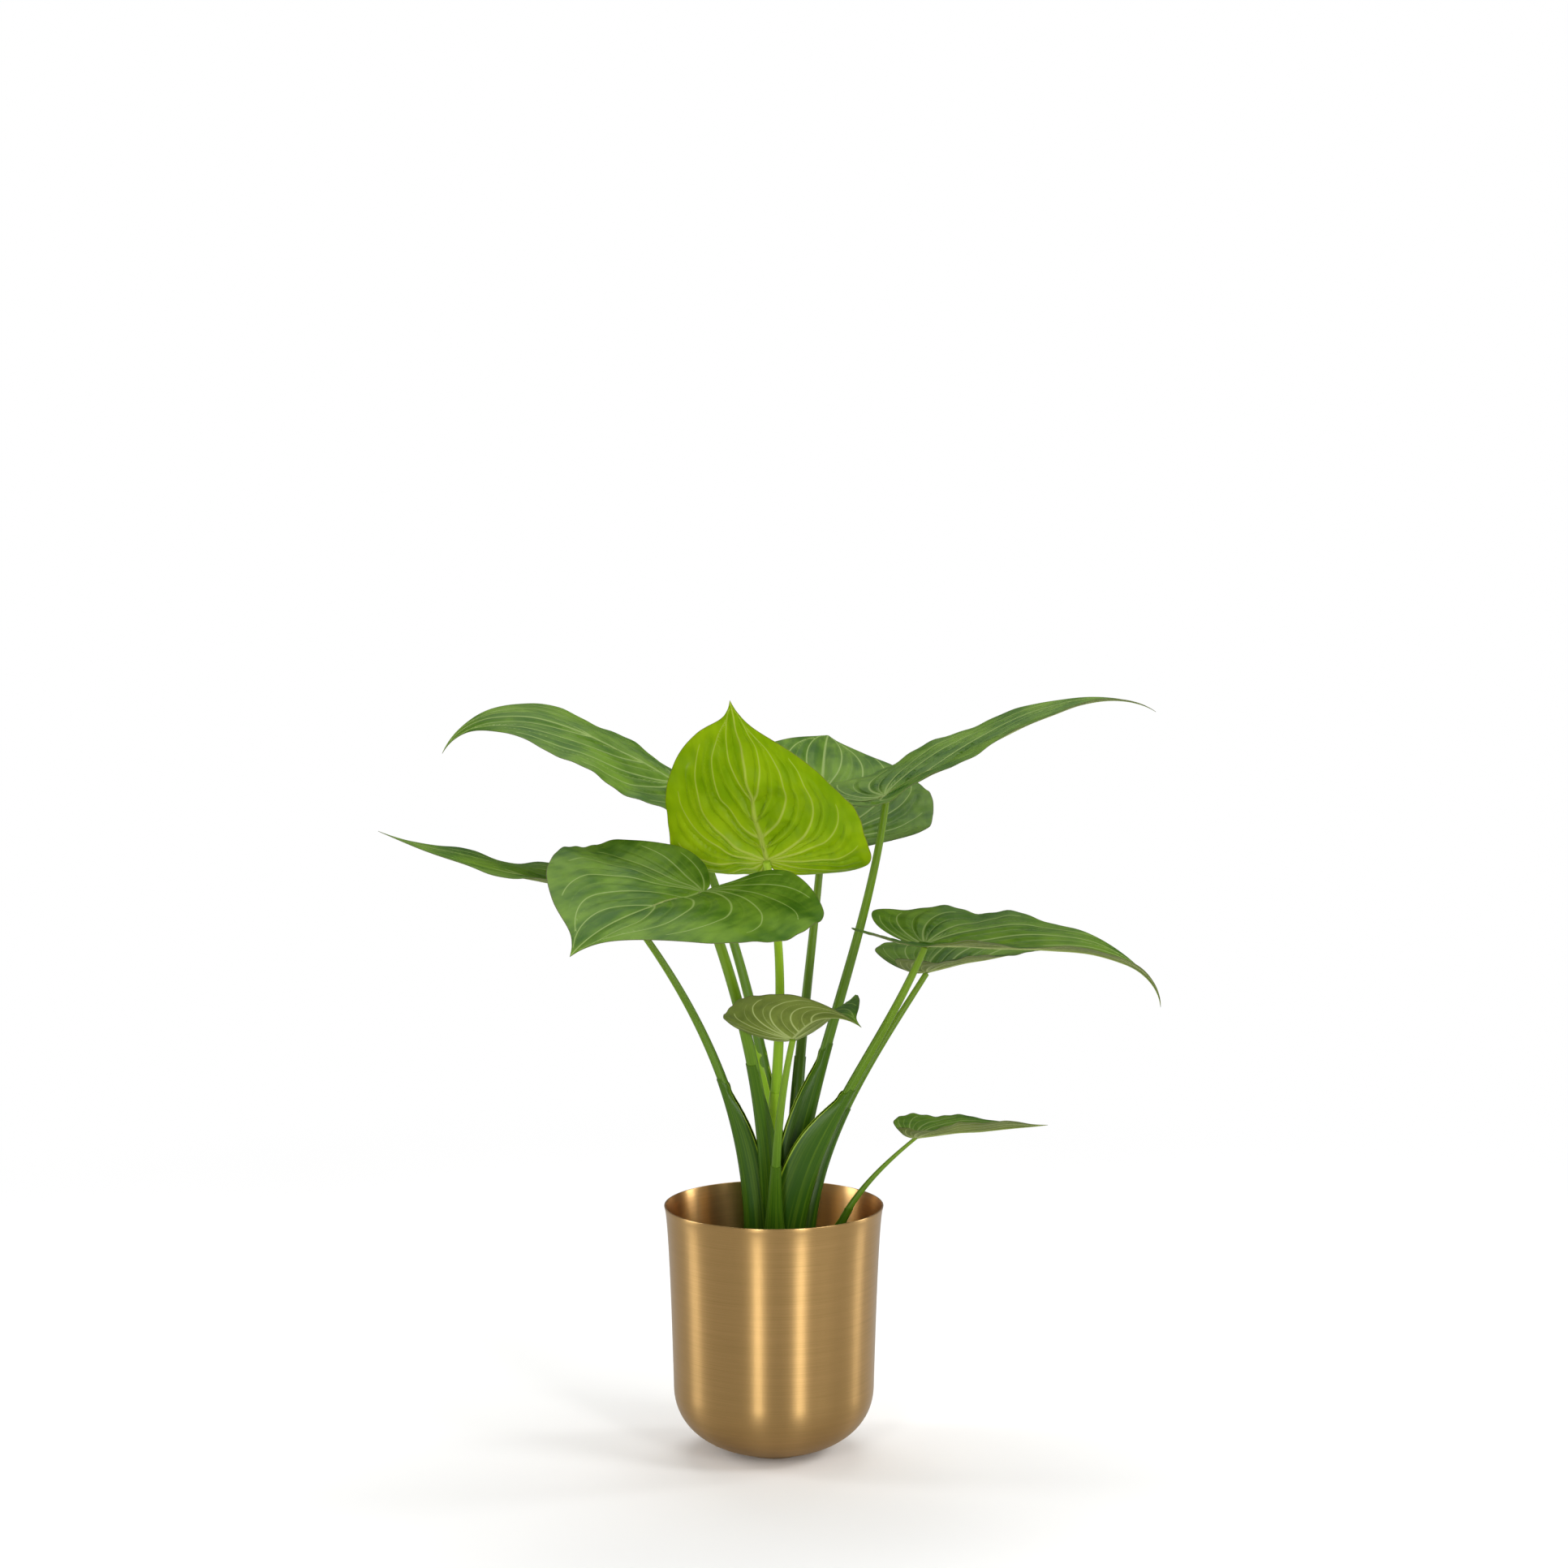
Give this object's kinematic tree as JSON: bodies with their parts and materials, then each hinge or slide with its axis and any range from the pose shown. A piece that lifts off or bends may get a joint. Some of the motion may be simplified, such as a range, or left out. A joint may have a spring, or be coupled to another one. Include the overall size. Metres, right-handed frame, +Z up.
{
  "type": "potted alocasia plant",
  "caption": "Leafy alocasia with heart-shaped, long-tipped leaves on sheathed stalks, growing in soil in a nursery pot set down inside a round brushed brass cachepot.",
  "frame": {"origin": "centre of the cachepot's flat foot, on the floor", "axes": "+Z up the cachepot's axis; -Y towards the plant's front, where the largest leaf leans out; +X to the right seen from the front"},
  "size_m": [0.621, 0.4775, 0.6276],
  "materials": {
    "pot": "brushed round the pot, satin, unlacquered",
    "grower_pot": "thin vacuum-formed nursery plastic, matte",
    "soil": "damp peat with bark and perlite crumbs",
    "rhizome": "corky, ringed with old leaf scars",
    "petiole": "smooth, waxy, fine lengthwise streaks",
    "blade": "glossy upper side, paler matte underside, raised light veins",
    "blade_young": "young thin leaf, bright yellow-green, lets light through"
  },
  "bodies": {
    "root": {"pot": "pot", "grower_pot": "grower_pot", "soil": "soil", "rhizome": "rhizome", "leaf_01_petiole": "petiole", "leaf_01_blade": "blade", "leaf_02_petiole": "petiole", "leaf_02_blade": "blade", "leaf_03_petiole": "petiole", "leaf_03_blade": "blade_young", "leaf_04_petiole": "petiole", "leaf_04_blade": "blade", "leaf_05_petiole": "petiole", "leaf_05_blade": "blade", "leaf_06_petiole": "petiole", "leaf_06_blade": "blade", "leaf_07_petiole": "petiole", "leaf_07_blade": "blade", "leaf_08_petiole": "petiole", "leaf_08_blade": "blade", "leaf_09_petiole": "petiole", "leaf_09_blade": "blade", "leaf_10_petiole": "petiole", "leaf_10_blade": "blade"}
  },
  "joints": []
}
